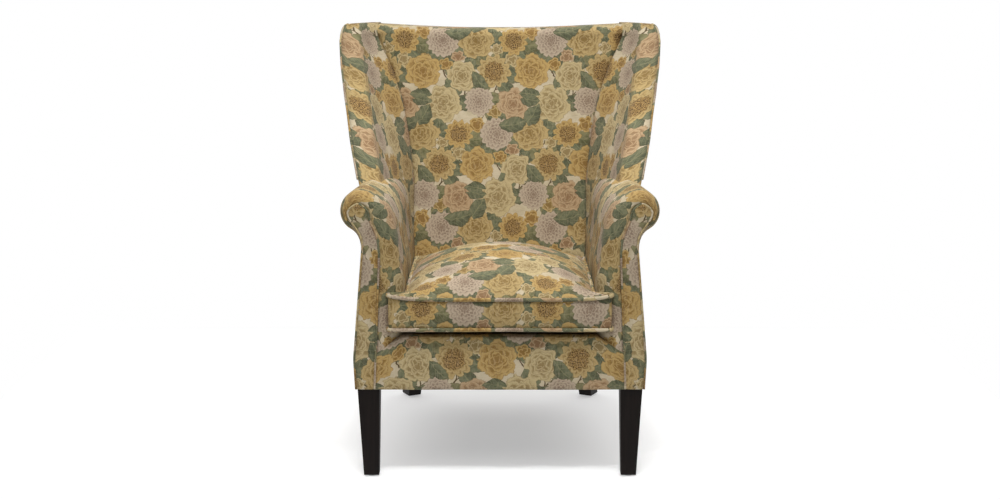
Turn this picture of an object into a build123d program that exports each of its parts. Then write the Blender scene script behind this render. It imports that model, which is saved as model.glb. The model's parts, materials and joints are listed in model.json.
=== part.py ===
from build123d import *
import math
import os

# Upholstered wing armchair with a loose T-shaped seat cushion, in millimetres.
# It stands on the floor at z = 0 and faces -Y. Left is the -X side.
# Shapes are drawn with y = 0 on the front border and moved to the row's origin,
# which is the bottom centre of the whole chair, when they are written.

# ---- driving dimensions ----
DEPTH_CENTRE = 393.09       # distance from the front border back to the origin
GLIDE_H = 4.0
LEG_TOP_Z = 217.0           # underside of the upholstered body
RAIL_TOP_Z = 305.0
DECK_Z = 351.5              # top of the lining cloth under the seat cushion
SKIN = 2.0                  # upholstery cloth with its lining
CORD_R = 4.0                # piping on the body
ARM_FRONT_Y = 14.0
ARM_REAR_Y = 790.0          # plane of the arm's rear outline, cut off by the outside back
BORDER_HALF = 300.0         # front border, half its width at the bottom
BACK_TOP_Z = 1046.0
WING_TOP_Z = 1060.0
INSIDE_BACK_Y = 548.0       # face of the inside back at BACK_START_Z
BACK_START_Z = 354.0
INSIDE_LEAN = 0.2203        # how far the inside back leans for each mm of height
OUTSIDE_BACK_Y = 715.0      # face of the outside back at LEG_TOP_Z
OUTSIDE_LEAN = 0.1124
BACK_HALF_LOW = 275.0       # outside back, half its width at the bottom
BACK_HALF_HIGH = 358.0      # and at the top
BOARD_T = 3.0               # stiff board behind the outside back cloth
POST_FRONT_Y = 674.0        # front face of the back posts at POST_FOOT_Z
POST_FOOT_Z = 262.0
POST_TOP_Z = 1020.0
POST_DEPTH = 28.0
CUSHION_BOTTOM_Z = 352.5
CUSHION_SEAM_Z = 442.0      # upper piping of the cushion
CUSHION_CROWN_Z = 519.0
CUSHION_HALF = 229.0        # cushion between the arms, half its width
CUSHION_EAR_HALF = 266.0    # and across its two front ears
CUSHION_FRONT_Y = -17.0
CUSHION_EAR_Y = 11.0        # back of the ears, just in front of the arms
CUSHION_BACK_Y = 545.0
CUSHION_CORD_R = 5.0
CUSHION_LOW_CORD = 15.0     # lower piping above the cushion's bottom
BOLT_R = 4.0
WIRE_R = 1.9                # zigzag spring wire
SPRING_COUNT = 5
SPRING_GAP = 84.0
GAP = 0.3                   # between pieces that are tacked on, not glued

os.makedirs("parts", exist_ok=True)


# ---- helpers ----
def inside_back_y(z):
    return INSIDE_BACK_Y + INSIDE_LEAN * (z - BACK_START_Z)


def outside_back_y(z):
    return OUTSIDE_BACK_Y + OUTSIDE_LEAN * (z - LEG_TOP_Z)


def back_half(z):
    along = (z - LEG_TOP_Z) / (BACK_TOP_Z - LEG_TOP_Z)
    return BACK_HALF_LOW + (BACK_HALF_HIGH - BACK_HALF_LOW) * along


def post_front_y(z):
    lean = (outside_back_y(POST_TOP_Z) - 10.0 - POST_DEPTH - POST_FRONT_Y) / (POST_TOP_Z - POST_FOOT_Z)
    return POST_FRONT_Y + lean * (z - POST_FOOT_Z)


def block(x0, x1, y0, y1, z0, z1):
    """A box between two corners."""
    return Pos((x0 + x1) / 2, (y0 + y1) / 2, (z0 + z1) / 2) * Box(x1 - x0, y1 - y0, z1 - z0)


def level(points, z):
    """A horizontal face with straight sides."""
    return make_face(Polyline([(x, y, z) for x, y in points], close=True))


def upright(points, y):
    """A face with straight sides, standing square to Y."""
    return make_face(Polyline([(x, y, z) for x, z in points], close=True))


def stack(sections):
    """A ruled solid through horizontal outlines, given as (z, points)."""
    return loft([level(points, z) for z, points in sections], ruled=True)


def beam(start, end, width, height):
    """A straight batten between two points."""
    along = Vector(*end) - Vector(*start)
    plane = Plane(origin=start, x_dir=Vector(0, 0, 1).cross(along), z_dir=along)
    return extrude(plane * Rectangle(width, height), amount=along.length)


def rod(start, end, radius):
    along = Vector(*end) - Vector(*start)
    return extrude(Plane(origin=start, z_dir=along) * Circle(radius), amount=along.length)


def cord(points, radius):
    """Piping along straight runs, with a ball at each corner."""
    shape = rod(points[0], points[1], radius)
    for start, end in zip(points[1:], points[2:]):
        shape += Pos(*start) * Sphere(radius)
        shape += rod(start, end, radius)
    return shape


def mirrored(shape):
    return mirror(shape, about=Plane.YZ)


def carve(shape, tools):
    """The shape with room cut for other pieces, one at a time."""
    for tool in tools:
        shape = shape - tool
    return shape


def without_crumbs(shape):
    """The shape without loose bits under a thousandth of its volume."""
    solids = shape.solids()
    return Compound([s for s in solids if s.volume > 0.001 * shape.volume])


def group(shapes):
    return Compound(list(shapes))


def save(name, shape):
    export_step(Pos(0, -DEPTH_CENTRE, 0) * shape, f"parts/{name}.step")


def save_pair(name, shape):
    save(name + "_right", shape)
    save(name + "_left", mirrored(shape))


# ---- legs ----
FRONT_FOOT = (310.3, 20.3)
FRONT_LEG_TOP = (314.5, 31.0)
REAR_FOOT = (254.0, 752.0)
REAR_LEG_TOP = (236.0, 678.0)
REAR_TURN = -27.0           # the rear legs are turned towards the middle


def front_leg():
    top = Pos(*FRONT_LEG_TOP, LEG_TOP_Z) * Rectangle(53, 52)
    foot = Pos(*FRONT_FOOT, GLIDE_H) * Rectangle(36.5, 35)
    return loft([foot, top], ruled=True) - leg_bolt(*FRONT_LEG_TOP)


def rear_leg():
    top = Pos(*REAR_LEG_TOP, LEG_TOP_Z) * Rot(0, 0, REAR_TURN) * Rectangle(50, 52)
    foot = Pos(*REAR_FOOT, GLIDE_H) * Rot(0, 0, REAR_TURN) * Rectangle(37, 46)
    return loft([foot, top], ruled=True) - leg_bolt(*REAR_LEG_TOP)


def leg_bolt(x, y):
    """A hanger bolt screwed into the leg and through its corner block."""
    return Pos(x, y, LEG_TOP_Z) * Cylinder(BOLT_R, 104)


def bolt_nut(x, y):
    """A flanged nut on top of the corner block."""
    flange = Pos(x, y, 263.5) * Cylinder(11, 3)
    barrel = Pos(x, y, 268.0) * extrude(RegularPolygon(7.5, 6), amount=5, both=True)
    return flange + barrel - Pos(x, y, 263) * Cylinder(BOLT_R, 40)


def glides():
    feet = [Pos(*spot, GLIDE_H / 2) * Cylinder(11, GLIDE_H) for spot in (FRONT_FOOT, REAR_FOOT)]
    return group(feet + [mirrored(foot) for foot in feet])


# ---- arm: outline square to Y, swept back to the outside back ----
def arm_outline(y, back, skin):
    """back runs from 0 at the arm front to 1 at the rear plane; skin is how far in it lies."""
    def between(front, rear):
        return front + (rear - front) * back
    inner = between(233.0, 234.5) + skin
    scroll_x = between(327.5, 292.0)
    scroll_z = between(645.0, 640.0)
    radius = between(49.0, 33.0) - skin
    neck = between(326.0, 292.0) - skin
    widest = between(349.6, 284.0) - skin
    base = between(346.0, 278.0) - skin
    shoulder = (between(266.0, 255.0) + 0.8 * skin, y, between(650.0, 640.0) - 0.6 * skin)
    elbow = (inner + 14, y, 585)
    turn = math.radians(-76)
    lip = (scroll_x + radius * math.cos(turn), y, scroll_z + radius * math.sin(turn))
    crest = (scroll_x, y, scroll_z + radius)
    wall = Polyline((inner, y, LEG_TOP_Z), (inner, y, 490), elbow)
    top = ThreePointArc(elbow, shoulder, crest)
    scroll = ThreePointArc(crest, (scroll_x + radius, y, scroll_z), lip)
    outside = Polyline(lip, (neck, y, 572), (widest, y, 293), (base, y, LEG_TOP_Z), (inner, y, LEG_TOP_Z))
    return make_face(Wire([*wall.edges(), top, scroll, *outside.edges()]))


def arm_solid(skin):
    front = ARM_FRONT_Y + skin
    shape = loft([arm_outline(front, 0, skin), arm_outline(ARM_REAR_Y, 1, skin)], ruled=True)
    return shape - behind_back()


def behind_back():
    """Everything behind the board of the outside back."""
    inset = SKIN + BOARD_T + GAP
    side = [(outside_back_y(z) - inset, z) for z in (150.0, 1120.0)]
    face = make_face(Polyline([(-500, y, z) for y, z in [*side, (1000, 1120), (1000, 150)]], close=True))
    return extrude(face, amount=1000, dir=(1, 0, 0))


def arm_hollow():
    """The empty space between the inside arm, the arm rail and the outside arm."""
    front = [(261, 190), (261, 560), (284, 596), (312, 596), (318, 560), (340, 300), (337, 190)]
    rear = [(249, 190), (249, 560), (262, 592), (274, 592), (280, 560), (276, 300), (271, 190)]
    return loft([upright(front, 30.5), upright(rear, 830)], ruled=True)


def outside_arm_region():
    """Where the flat outside arm cloth is, below the scroll."""
    return block(279, 420, ARM_FRONT_Y, 900, LEG_TOP_Z, 588)


# ---- wing: horizontal outlines ----
def wing_sections(skin, top):
    """Outlines from the arm up to the wing's top, with the edge against the back left alone."""
    rows = []
    front_edge = [
        (650.0, 348.0, 232.0, 294.0),
        (683.0, 357.0, 268.0, 300.0),
        (875.0, 403.0, 460.0, 345.0),
        (1017.0, 427.0, 600.0, 378.0),
        (WING_TOP_Z, 420.0, 642.0, 380.0),
    ]
    for z, outer, front, inner in front_edge:
        z = min(z, top)
        crease = crease_x(z)
        rear = outside_back_y(z) - SKIN - BOARD_T
        rows.append((z, [
            (outer - skin, front + skin),
            (back_half(z) - skin, rear),
            (crease, rear),
            (crease, inside_back_y(z) + skin * 1.5),
            (inner + skin, front + skin),
        ]))
    return rows


def crease_x(z):
    """Half the width of the inside back, which the wings meet."""
    table = [(300, 232), (640, 232.5), (863, 268), (1012, 328), (1070, 352)]
    for (z0, x0), (z1, x1) in zip(table, table[1:]):
        if z <= z1:
            return x0 + (x1 - x0) * (z - z0) / (z1 - z0)
    return table[-1][1]


def wing_solid(skin):
    return stack(wing_sections(skin, WING_TOP_Z - skin)) - arm_solid(0)


def outside_wing_region():
    """A thick slab that follows the wing's outer face."""
    rows = []
    for z, outline in wing_sections(0, WING_TOP_Z):
        (outer, front), (rear_x, rear_y) = outline[:2]
        rows.append((z, [
            (outer - SKIN * 1.2, front + 6),
            (outer + 30, front + 6),
            (rear_x + 30, rear_y + 1),
            (rear_x - SKIN * 1.2, rear_y + 1),
        ]))
    return stack(rows)


# ---- back ----
def back_outline(z, skin):
    front = inside_back_y(z) + skin
    rear = outside_back_y(z) - SKIN - BOARD_T
    half = crease_x(z)
    return [(-half, front), (half, front), (half, rear), (-half, rear)]


def back_solid(skin):
    levels = [BACK_START_Z, 640, 863, 1012, BACK_TOP_Z - skin]
    return stack([(z, back_outline(z, skin)) for z in levels])


def back_hollow():
    """The space behind the padding where the posts, rails and webbing are."""
    rows = []
    for z in (BACK_START_Z - 10, POST_TOP_Z):
        front = post_front_y(z) - 5
        rows.append((z, [(-400, front), (400, front), (400, 900), (-400, 900)]))
    return stack(rows)


def back_layer(y_from_post, thickness, top):
    """A flat upright layer as wide as the inside back, along the fronts of the back posts."""
    rows = []
    for z in (BACK_START_Z, 640, 863, top):
        half = crease_x(z) - 1
        front = post_front_y(z) + y_from_post
        rows.append((z, [(-half, front), (half, front), (half, front + thickness), (-half, front + thickness)]))
    return stack(rows)


def webbing_strip(x):
    """An upright strip of webbing, which leans outwards towards the top."""
    rows = []
    for z, spread in ((374.0, 1.0), (1006.0, 1.3)):
        front = post_front_y(z) - 3
        left = x * spread - 25
        right = x * spread + 25
        rows.append((z, [(left, front), (right, front), (right, front + 1.5), (left, front + 1.5)]))
    return stack(rows)


def outside_back_sheet(offset, thickness, grow):
    rows = []
    for z in (LEG_TOP_Z, BACK_TOP_Z):
        half = back_half(z) + grow
        rear = outside_back_y(z) - offset
        rows.append((z, [(-half, rear - thickness), (half, rear - thickness), (half, rear), (-half, rear)]))
    return stack(rows)


# ---- timber frame ----
def back_post():
    def foot(z, x):
        front = post_front_y(z)
        return z, [(x, front), (x + 30, front), (x + 30, front + POST_DEPTH), (x, front + POST_DEPTH)]
    return stack([foot(POST_FOOT_Z, 239.0), foot(POST_TOP_Z, 300.0)]) - bolt_nut_room(*REAR_LEG_TOP)


def post_inner_x(z):
    return 239.0 + 61.0 * (z - POST_FOOT_Z) / (POST_TOP_Z - POST_FOOT_Z)


def cross_rail(z0, z1):
    """A rail between the two back posts."""
    rows = []
    for z in (z0, z1):
        half = post_inner_x(z)
        front = post_front_y(z) + 1
        rear = front + POST_DEPTH - 4
        rows.append((z, [(-half, front), (half, front), (half, rear), (-half, rear)]))
    return stack(rows)


def front_rail():
    """The ends are lapped over the corner blocks."""
    face = block(-290, 290, 2, 14, 219, RAIL_TOP_Z)
    core = block(-261.8, 261.8, 14, 32, 219, RAIL_TOP_Z)
    return face + core


def side_rail():
    plan = [(306, 72.2), (334, 72.2), (272, 641.8), (244, 641.8)]
    return stack([(219, plan), (RAIL_TOP_Z - 15, plan)])


def back_rail():
    return block(-205, 205, 672, 700, 219, RAIL_TOP_Z)


def front_block():
    return block(262, 338, 17, 72, LEG_TOP_Z + GAP, POST_FOOT_Z) - leg_bolt(*FRONT_LEG_TOP)


def rear_block():
    plan = [(205.2, 642), (272, 642), (266, 706), (205.2, 706)]
    return stack([(LEG_TOP_Z + GAP, plan), (POST_FOOT_Z, plan)]) - leg_bolt(*REAR_LEG_TOP)


def arm_post():
    """The upright behind the arm front, on its corner block."""
    return block(288, 318, 18, 56, POST_FOOT_Z, 630) - bolt_nut_room(*FRONT_LEG_TOP)


def bolt_nut_room(x, y):
    return Pos(x, y, POST_FOOT_Z + 9) * Cylinder(13, 20)


def arm_rail():
    """The rail under the top of the arm, from the arm post to the back post."""
    return beam((303, 58, 615), (282, 724, 611), 26, 24) - back_post()


def wing_frame():
    """The sloping front batten and the top batten of the wing."""
    slope = beam((322, 318, 652), (386, 622, 992), 24, 26)
    top = beam((386, 612, 1002), (328, 772, 1004), 24, 26)
    return slope + top - back_post()


# ---- springing ----
def zigzag(x):
    """One sinuous spring from the front rail to the back rail."""
    front = 22.0
    rear = 684.0
    turns = 30
    pitch = (rear - front) / turns
    points = [(x, front)]
    for i in range(turns):
        side = 21.0 if i % 2 else -21.0
        points.append((x + side, front + pitch * i + pitch * 0.2))
        points.append((x + side, front + pitch * (i + 1) - pitch * 0.2))
    points.append((x, rear))
    path = FilletPolyline(*[(px, py, RAIL_TOP_Z + 4) for px, py in points], radius=5.0)
    start = Plane(origin=path @ 0, z_dir=path % 0)
    return sweep(start * Circle(WIRE_R), path=path)


def spring_clip(x, y):
    return block(x - 14, x + 14, y - 7, y + 7, RAIL_TOP_Z, RAIL_TOP_Z + 8)


def spring_places():
    first = -SPRING_GAP * (SPRING_COUNT - 1) / 2
    return [first + SPRING_GAP * i for i in range(SPRING_COUNT)]


# ---- seat base ----
def border_face():
    outline = [
        (-BORDER_HALF, LEG_TOP_Z), (BORDER_HALF, LEG_TOP_Z), (296, 308),
        (232, DECK_Z - 1.5), (-232, DECK_Z - 1.5), (-296, 308),
    ]
    return upright(outline, 0)


def facing_face():
    """The narrow panel on the front of the arm, with a round head in the scroll."""
    stem = [
        (BORDER_HALF, LEG_TOP_Z), (296, 308), (285, 546), (309, 634),
        (342, 615), (325, 588), (326, 560), (349, 293), (345, LEG_TOP_Z),
    ]
    head = Pos(334, 0, 640) * Rot(90, 0, 0) * Circle(26)
    return upright(stem, 0) + head


def panel(face, y0, y1):
    """A face that stands at y = 0, thickened from y0 back to y1."""
    return Pos(0, y0, 0) * extrude(face, amount=y1 - y0, dir=(0, 1, 0))


def facing_cord():
    outer = offset(facing_face(), amount=CORD_R * 0.7)
    inner = offset(facing_face(), amount=-CORD_R * 0.7)
    strip = panel(outer, -2, 5) - panel(inner, -3, 6)
    return strip - block(200, 400, -10, 20, 0, LEG_TOP_Z)


# ---- cushion ----
def cushion_plan(inset, z):
    half = CUSHION_HALF - inset
    ear = CUSHION_EAR_HALF - inset
    front = CUSHION_FRONT_Y + inset
    notch = CUSHION_EAR_Y - inset
    back = CUSHION_BACK_Y - inset
    corners = [
        (-ear, front + 3), (-ear, notch), (-half, notch), (-half, back),
        (half, back), (half, notch), (ear, notch), (ear, front + 3),
    ]
    sides = Polyline([(x, y, z) for x, y in corners])
    bow = ThreePointArc((ear, front + 3, z), (0, front, z), (-ear, front + 3, z))
    return make_face(Wire([*sides.edges(), bow]))


def cushion_box(inset):
    base = cushion_plan(inset, CUSHION_BOTTOM_Z + inset)
    height = CUSHION_SEAM_Z - CUSHION_BOTTOM_Z - 2 * inset
    return extrude(base, amount=height, dir=(0, 0, 1))


def cushion_crown(inset):
    """The domed top, as rounded outlines that shrink towards the middle."""
    rows = []
    dome = [(CUSHION_SEAM_Z - inset, 8), (470, 30), (496, 74), (511, 122), (CUSHION_CROWN_Z - inset, 176)]
    middle = (CUSHION_FRONT_Y + CUSHION_BACK_Y) / 2
    for z, shrink in dome:
        wide = 2 * (CUSHION_HALF - shrink - inset)
        deep = CUSHION_BACK_Y - CUSHION_FRONT_Y - 2 * shrink - 2 * inset
        rows.append(Pos(0, middle, z) * RectangleRounded(wide, deep, 40 - shrink * 0.1))
    return loft(rows, ruled=True)


def cushion_cord(z):
    outer = offset(cushion_plan(0, z - CUSHION_CORD_R), amount=CUSHION_CORD_R)
    ring = extrude(outer, amount=2 * CUSHION_CORD_R, dir=(0, 0, 1))
    keep = cushion_box(0) + cushion_crown(0)
    return ring - keep - block(-600, 600, CUSHION_EAR_Y, 900, 0, 900)


def zip_strip():
    return block(-190, 190, CUSHION_BACK_Y, CUSHION_BACK_Y + 1.5, 388, 402)


# ---- write the frame and the springing ----
bolt_spots = [FRONT_LEG_TOP, REAR_LEG_TOP]
bolts = [leg_bolt(*spot) for spot in bolt_spots]
nuts = [bolt_nut(*spot) for spot in bolt_spots]
blocks = [front_block(), rear_block()]
side_timber = {
    "back_post": back_post(),
    "arm_post": arm_post(),
    "arm_rail": arm_rail(),
    "side_rail": side_rail(),
    "wing_frame": wing_frame(),
}
cross_timber = {
    "front_rail": front_rail(),
    "back_rail": back_rail(),
    "top_back_rail": cross_rail(960, 1010),
    "back_liner_rail": cross_rail(372, 420),
}
for name, shape in side_timber.items():
    save_pair(name, shape)
for name, shape in cross_timber.items():
    save(name, shape)
save_pair("front_leg", front_leg())
save_pair("rear_leg", rear_leg())
save("corner_blocks", group(blocks + [mirrored(b) for b in blocks]))
save("foot_glides", glides())
save("leg_bolts", group(bolts + [mirrored(b) for b in bolts]))
save("leg_bolt_nuts", group(nuts + [mirrored(n) for n in nuts]))
frame_pieces = [*side_timber.values(), *cross_timber.values(), *blocks, *bolts, *nuts]

springs = [zigzag(x) for x in spring_places()]
clips = [spring_clip(x, y) for x in spring_places() for y in (24.0, 682.0)]
save("seat_springs", group(springs))
save("spring_clips", group([clip - springs[i // 2] for i, clip in enumerate(clips)]))

# ---- write the seat base ----
border = panel(border_face(), 0, SKIN)
cord_front = facing_cord() - front_rail()
save("front_border_cover", border - cord_front - mirrored(cord_front))
save_pair("arm_facing", without_crumbs(panel(facing_face(), SKIN, ARM_FRONT_Y) - cord_front))
save_pair("facing_piping", cord_front)
save("front_edge_roll", block(-231, 231, SKIN, 42, 314, DECK_Z - SKIN))
save("seat_hessian", block(-231, 231, 14, 642, 313, 314))
save("seat_deck_pad", block(-231, 231, 42, 640, 314, DECK_Z - SKIN))
save("deck_cover", block(-231, 231, 42, 640, DECK_Z - SKIN, DECK_Z))
feet_room = block(284, 360, -10, 62, 200, 230) + block(196, 290, 640, 720, 200, 230)
dust_plan = [(-338, 4), (338, 4), (270, 706), (-270, 706)]
dust = stack([(LEG_TOP_Z - 1, dust_plan), (LEG_TOP_Z, dust_plan)])
save("dust_cover", carve(dust, [feet_room, mirrored(feet_room)]))

# ---- write the arms and wings ----
hessian = back_layer(-5, 1, 1008)
wing_edge = [
    (outline[0][0] - CORD_R * 0.4, outline[0][1] + CORD_R * 0.4, z)
    for z, outline in wing_sections(0, WING_TOP_Z)
]
wing_cord_path = [(357.0, 262.0, 690.0), *wing_edge[2:], (364.0, 800.0, WING_TOP_Z)]
wing_cord = cord(wing_cord_path, CORD_R) - arm_solid(0)
arm_shell = carve(arm_solid(0) - arm_solid(SKIN), frame_pieces + [hessian])
arm_region = outside_arm_region()
save_pair("outside_arm_panel", without_crumbs(arm_shell & arm_region))
save_pair("arm_cover", without_crumbs(arm_shell - arm_region))
arm_pad = arm_solid(SKIN) - arm_hollow()
save_pair("arm_pad", without_crumbs(carve(arm_pad, frame_pieces + [hessian])))
wing_shell = carve(wing_solid(0), [wing_solid(SKIN), wing_cord, *frame_pieces])
wing_region = outside_wing_region()
save_pair("outside_wing_panel", without_crumbs(wing_shell & wing_region))
save_pair("wing_cover", without_crumbs(wing_shell - wing_region))
save_pair("wing_pad", without_crumbs(carve(wing_solid(SKIN), [wing_cord, *frame_pieces])))
save_pair("wing_piping", wing_cord)

# ---- write the back ----
mirrored_frame = [mirrored(piece) for piece in side_timber.values()]
back_tools = [back_hollow(), *side_timber.values(), *mirrored_frame]
save("inside_back_cover", carve(back_solid(0) - back_solid(SKIN), back_tools))
save("inside_back_pad", carve(back_solid(SKIN), back_tools))
save("back_hessian", carve(hessian, [*side_timber.values(), *mirrored_frame]))
save("back_webbing", group([webbing_strip(-174 + 116 * i) for i in range(4)]))
save("outside_back_board", outside_back_sheet(SKIN, BOARD_T, -3))
save("outside_back_panel", outside_back_sheet(0, SKIN, 0))

# ---- write the cushion ----
cushion_outer = cushion_box(0) + cushion_crown(0)
cushion_inner = cushion_box(SKIN) + cushion_crown(SKIN)
save("cushion_cover", cushion_outer - cushion_inner)
save("cushion_core", cushion_inner)
save("cushion_piping_top", cushion_cord(CUSHION_SEAM_Z))
save("cushion_piping_bottom", cushion_cord(CUSHION_BOTTOM_Z + CUSHION_LOW_CORD))
save("cushion_zip", zip_strip())
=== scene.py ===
import json
import math
import random

import bmesh
import bpy
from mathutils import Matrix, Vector, noise


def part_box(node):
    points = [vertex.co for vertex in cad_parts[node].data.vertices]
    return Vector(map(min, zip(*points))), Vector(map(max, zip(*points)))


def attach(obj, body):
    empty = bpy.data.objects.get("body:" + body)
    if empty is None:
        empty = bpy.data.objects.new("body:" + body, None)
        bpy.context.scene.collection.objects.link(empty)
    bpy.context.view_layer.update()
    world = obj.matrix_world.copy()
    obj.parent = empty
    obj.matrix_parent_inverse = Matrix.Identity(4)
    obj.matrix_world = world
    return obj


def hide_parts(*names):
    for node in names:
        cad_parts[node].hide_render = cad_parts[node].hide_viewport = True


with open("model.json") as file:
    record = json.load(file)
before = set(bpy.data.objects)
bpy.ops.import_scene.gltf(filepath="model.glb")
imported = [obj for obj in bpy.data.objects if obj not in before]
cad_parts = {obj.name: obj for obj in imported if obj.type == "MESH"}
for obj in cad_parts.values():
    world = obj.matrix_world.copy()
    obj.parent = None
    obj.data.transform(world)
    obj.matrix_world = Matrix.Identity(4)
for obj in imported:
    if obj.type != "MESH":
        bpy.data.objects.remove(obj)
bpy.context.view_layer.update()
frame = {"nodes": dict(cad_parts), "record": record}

# Everything is in metres. Shapes are drawn with y = 0 on the front border and moved
# to the frame by BORDER_Y. The chair faces -Y, and pieces come in a right and a left.
BORDER_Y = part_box("front_border_cover")[0][1]
BASE_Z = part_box("front_border_cover")[0][2]
ARM_FULL_Y = 0.036       # the arm has its full outline from here back
SEAM_Y = 0.004           # the facing's seam
BACK_TOP_Z = 1.046
BACK_ROUND_Z = 1.018     # the top edges are rounded above these heights
WING_ROUND_Z = 1.026
WING_TOP_Z = 1.060
CORD = 0.0042            # piping radius
CLOTH = 0.0016           # thickness of the cloth


# ---- curves and tables ----
def between(a, b, t):
    return a + (b - a) * t


def smooth(t):
    t = min(max(t, 0.0), 1.0)
    return t * t * (3 - 2 * t)


def look_up(table, z):
    """Straight-line value at z in a list of (z, value)."""
    if z <= table[0][0]:
        return table[0][1]
    for (z0, a), (z1, b) in zip(table, table[1:]):
        if z <= z1:
            return between(a, b, (z - z0) / (z1 - z0))
    return table[-1][1]


def arc_through(a, b, c, count):
    """Points on the circle from a through b to c, without a."""
    (ax, ay), (bx, by), (cx, cy) = a, b, c
    d = 2 * (ax * (by - cy) + bx * (cy - ay) + cx * (ay - by))
    a2, b2, c2 = ax * ax + ay * ay, bx * bx + by * by, cx * cx + cy * cy
    ux = (a2 * (by - cy) + b2 * (cy - ay) + c2 * (ay - by)) / d
    uy = (a2 * (cx - bx) + b2 * (ax - cx) + c2 * (bx - ax)) / d
    radius = math.hypot(ax - ux, ay - uy)
    start = math.atan2(ay - uy, ax - ux)
    middle = (math.atan2(by - uy, bx - ux) - start) % math.tau
    sweep = (math.atan2(cy - uy, cx - ux) - start) % math.tau
    if middle > sweep:
        sweep -= math.tau
    turns = [start + sweep * (i + 1) / count for i in range(count)]
    return [(ux + radius * math.cos(t), uy + radius * math.sin(t)) for t in turns]


def line_to(a, b, count):
    """Points on the straight line from a to b, without a."""
    steps = [(i + 1) / count for i in range(count)]
    return [(between(a[0], b[0], t), between(a[1], b[1], t)) for t in steps]


def eased(points, rounds):
    """The same points with their corners softened."""
    for _ in range(rounds):
        inner = [
            tuple((p[k] + 2 * q[k] + r[k]) / 4 for k in range(len(q)))
            for p, q, r in zip(points, points[1:], points[2:])
        ]
        points = [points[0], *inner, points[-1]]
    return points


def even(count):
    """Values from -1 to 1 in equal steps."""
    return [2 * i / count - 1 for i in range(count + 1)]


# ---- the planes that the upholstery meets ----
def inside_back_y(z):
    return 0.548 + 0.2203 * (z - 0.354)


def outside_back_y(z):
    return 0.715 + 0.1124 * (z - 0.217)


def back_half(z):
    """Half the width of the outside back."""
    return 0.275 + 0.083 * (z - 0.217) / 0.829


CREASE = [
    (0.30, 0.232), (0.64, 0.2335), (0.76, 0.247), (0.863, 0.268),
    (0.945, 0.296), (1.012, 0.328), (1.07, 0.352),
]


def crease_x(z):
    """Where the inside back meets the arm or the wing."""
    return look_up(CREASE, z)


# ---- meshes ----
def place(p):
    return Vector((p[0], p[1] + BORDER_Y, p[2]))


def flipped(rows):
    return [[(-x, y, z) for x, y, z in row] for row in rows]


def quads(rows):
    """The grid's cells, each as the (row, column) of its four corners."""
    for j in range(len(rows) - 1):
        for i in range(len(rows[0]) - 1):
            yield [(j, i), (j, i + 1), (j + 1, i + 1), (j + 1, i)]


def smooth_mesh(name, verts, faces, corners, material):
    """An object from points, faces and the cloth coordinates of each face's corners."""
    mesh = bpy.data.meshes.new(name)
    mesh.from_pydata(verts, [], faces)
    layer = mesh.uv_layers.new(name="cloth")
    for polygon, quad in zip(mesh.polygons, corners):
        polygon.use_smooth = True
        for loop, uv in zip(polygon.loop_indices, quad):
            layer.data[loop].uv = uv
    mesh.materials.append(material)
    piece = bpy.data.objects.new(name, mesh)
    bpy.context.collection.objects.link(piece)
    return piece


def grid_piece(name, rows, uvs, material, thickness=CLOTH, mirrored=False):
    """A cloth panel from rows of points, with the cloth's own coordinates in metres."""
    if mirrored:
        rows = flipped(rows)
    wide = len(rows[0])
    verts = [place(p) for row in rows for p in row]
    faces = []
    corners = []
    for quad in quads(rows):
        if mirrored:
            quad.reverse()
        faces.append([r * wide + c for r, c in quad])
        corners.append([uvs[r][c] for r, c in quad])
    piece = smooth_mesh(name, verts, faces, corners, material)
    if thickness:
        solid = piece.modifiers.new("thickness", "SOLIDIFY")
        solid.thickness = thickness
        solid.offset = -1
    return piece


def distances(points):
    """How far each point is from the first, along the points."""
    out = [0.0]
    for p, q in zip(points, points[1:]):
        out.append(out[-1] + (Vector(q) - Vector(p)).length)
    return out


def arc_uvs(rows, u0=0.0, v0=0.0, anchor=0, turned=False):
    """Cloth coordinates by distance along the rows and up the column anchor."""
    uvs = []
    for row, height in zip(rows, distances([row[anchor] for row in rows])):
        along = distances(row)
        uvs.append([(a - along[anchor], height) for a in along])
    if turned:
        return [[(u0 + v, v0 + u) for u, v in row] for row in uvs]
    return [[(u0 + u, v0 + v) for u, v in row] for row in uvs]


def crumple(rows, size, amount, seed):
    """Small soft waves in the cloth, as it is over padding."""
    out = []
    for row in rows:
        new = []
        for p in row:
            q = Vector(p) / size + Vector((seed * 7.3, seed * 3.1, 0))
            shift = noise.noise_vector(q) * amount
            new.append((p[0] + shift.x, p[1] + shift.y, p[2] + shift.z * 0.6))
        out.append(new)
    return out


def tube(name, path, radius, material, closed=False, sides=10):
    """Piping: a mesh tube along a path, with cloth coordinates along it."""
    path = [Vector(p) for p in path]
    count = len(path)
    rows = []
    uvs = []
    run = 0.0
    normal = None
    for i, p in enumerate(path):
        ahead = path[(i + 1) % count] if closed or i < count - 1 else p
        behind = path[i - 1] if closed or i > 0 else p
        along = (ahead - behind).normalized()
        if normal is None:
            normal = along.orthogonal().normalized()
        normal = (normal - along * normal.dot(along)).normalized()
        side = along.cross(normal)
        if i:
            run += (p - path[i - 1]).length
        turns = [math.tau * k / sides for k in range(sides + 1)]
        rows.append([tuple(p + (normal * math.cos(t) + side * math.sin(t)) * radius) for t in turns])
        uvs.append([(run * 0.7 + t * radius * 0.7, run * 0.7 - t * radius * 0.7) for t in turns])
    if closed:
        rows.append(rows[0])
        last = run + (path[0] - path[-1]).length
        uvs.append([(last * 0.7 + k * 0.0005, last * 0.7) for k in range(sides + 1)])
    piece = grid_piece(name, rows, uvs, material, thickness=0)
    weld(piece)
    return piece


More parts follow.
